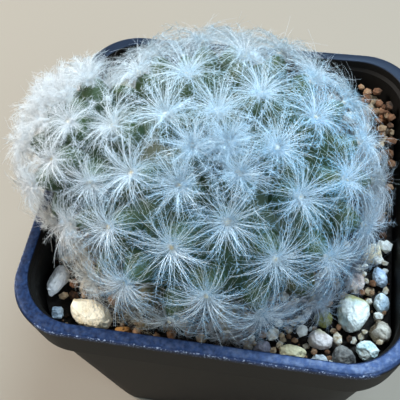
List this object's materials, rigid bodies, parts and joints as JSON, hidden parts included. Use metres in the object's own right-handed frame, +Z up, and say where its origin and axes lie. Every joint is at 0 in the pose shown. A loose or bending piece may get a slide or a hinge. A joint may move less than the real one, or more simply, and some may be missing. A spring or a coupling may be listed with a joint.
{
  "type": "potted feather cactus",
  "caption": "Feather cactus of two joined domed heads with sprays of white feathery spines, in a square black plastic nursery pot dressed with pebbles.",
  "frame": {"origin": "middle of the pot's flat base, at the level that it stands on", "axes": "+Z up, -Y towards the side of the pot that faces the viewer, +X to the viewer's right"},
  "size_m": [0.0806, 0.075, 0.0962],
  "materials": {
    "black_plastic": "moulded satin black, bluish sheen on the rim, fine scratches",
    "dark_soil": "dark gritty potting mix",
    "green_skin": "waxy green tubercles",
    "white_spines": "fine translucent feathery spines, white wool between them",
    "cream_felt": "short yellowish felt at the middle of each spray",
    "white_stone": "rough white pumice",
    "cream_stone": "rough cream pumice",
    "pink_stone": "pale pinkish gravel",
    "grey_stone": "dark speckled gravel",
    "brown_stone": "crusty brown clay granule",
    "olive_stone": "olive brown gravel"
  },
  "bodies": {
    "root": {"pot": "black_plastic", "soil": "dark_soil", "cactus": "green_skin", "pumice_block": "white_stone", "pumice_wedge": "white_stone", "pumice_sliver": "white_stone", "pumice_long": "white_stone", "pumice_blue": "white_stone", "pumice_egg": "white_stone", "pumice_bead": "white_stone", "stone_blush": "pink_stone", "stone_slate": "grey_stone", "stone_crusty": "brown_stone", "stone_butter": "cream_stone", "stone_lilac": "grey_stone", "stone_moss": "olive_stone", "stone_ivory": "cream_stone", "clay_tan": "brown_stone", "clay_red": "brown_stone", "clay_dark": "brown_stone", "clay_low": "brown_stone", "clay_chip": "brown_stone", "pebble_01": "white_stone", "pebble_02": "white_stone", "pebble_03": "brown_stone", "pebble_04": "pink_stone", "pebble_05": "brown_stone", "pebble_06": "cream_stone", "pebble_07": "cream_stone", "pebble_08": "olive_stone", "pebble_09": "white_stone", "pebble_10": "olive_stone", "pebble_11": "brown_stone", "pebble_12": "brown_stone", "pebble_13": "olive_stone", "pebble_14": "white_stone", "pebble_15": "pink_stone", "pebble_16": "olive_stone", "pebble_17": "grey_stone", "pebble_18": "cream_stone", "pebble_19": "grey_stone", "pebble_20": "olive_stone", "pebble_21": "brown_stone", "pebble_22": "cream_stone", "pebble_23": "pink_stone", "pebble_24": "cream_stone", "pebble_25": "white_stone", "pebble_26": "brown_stone", "pebble_27": "white_stone", "pebble_28": "grey_stone", "pebble_29": "olive_stone"}
  },
  "joints": []
}
